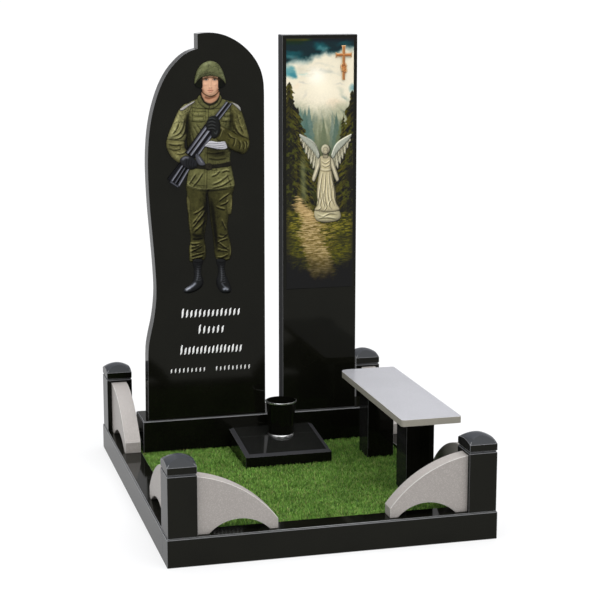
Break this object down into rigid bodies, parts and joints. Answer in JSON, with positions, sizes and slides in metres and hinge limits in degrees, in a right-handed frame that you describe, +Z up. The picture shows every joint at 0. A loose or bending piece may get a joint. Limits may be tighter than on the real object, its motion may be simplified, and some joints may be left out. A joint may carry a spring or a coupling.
{
  "type": "war memorial pillar with kerbed grave plot",
  "caption": "Granite war memorial: a round-topped stele with a soldier in relief beside a tall picture pillar, in a kerbed turf plot with corner posts, curved wings and a bench.",
  "frame": {"origin": "centre of the plot's footprint, on the ground", "axes": "+Z up, the stones face -Y, +X to the right seen from the front"},
  "size_m": [1.5, 1.906, 2.2087],
  "materials": {
    "granite_black": "polished",
    "granite_grey": "honed",
    "turf": "matte",
    "relief": "satin",
    "picture": "gloss",
    "bronze": "satin",
    "steel": "polished"
  },
  "bodies": {
    "root": {"front_kerb": "granite_black", "back_kerb": "granite_black", "left_kerb": "granite_black", "right_kerb": "granite_black", "turf_bed": "turf", "base_beam": "granite_black", "stele": "granite_black", "soldier_relief": "relief", "pillar": "granite_black", "picture_panel": "picture", "cross": "bronze", "post_front_left": "granite_black", "post_front_right": "granite_black", "post_back_left": "granite_black", "post_back_right": "granite_black", "wing_front_left": "granite_grey", "wing_front_right": "granite_grey", "wing_left_front": "granite_grey", "wing_left_back": "granite_grey", "wing_right_front": "granite_grey", "wing_right_back": "granite_grey", "bench_seat": "granite_grey", "bench_leg_front": "granite_black", "bench_leg_back": "granite_black", "flower_slab": "granite_black", "vase": "granite_black", "vase_rim_ring": "steel", "vase_foot_ring": "steel"}
  },
  "joints": []
}
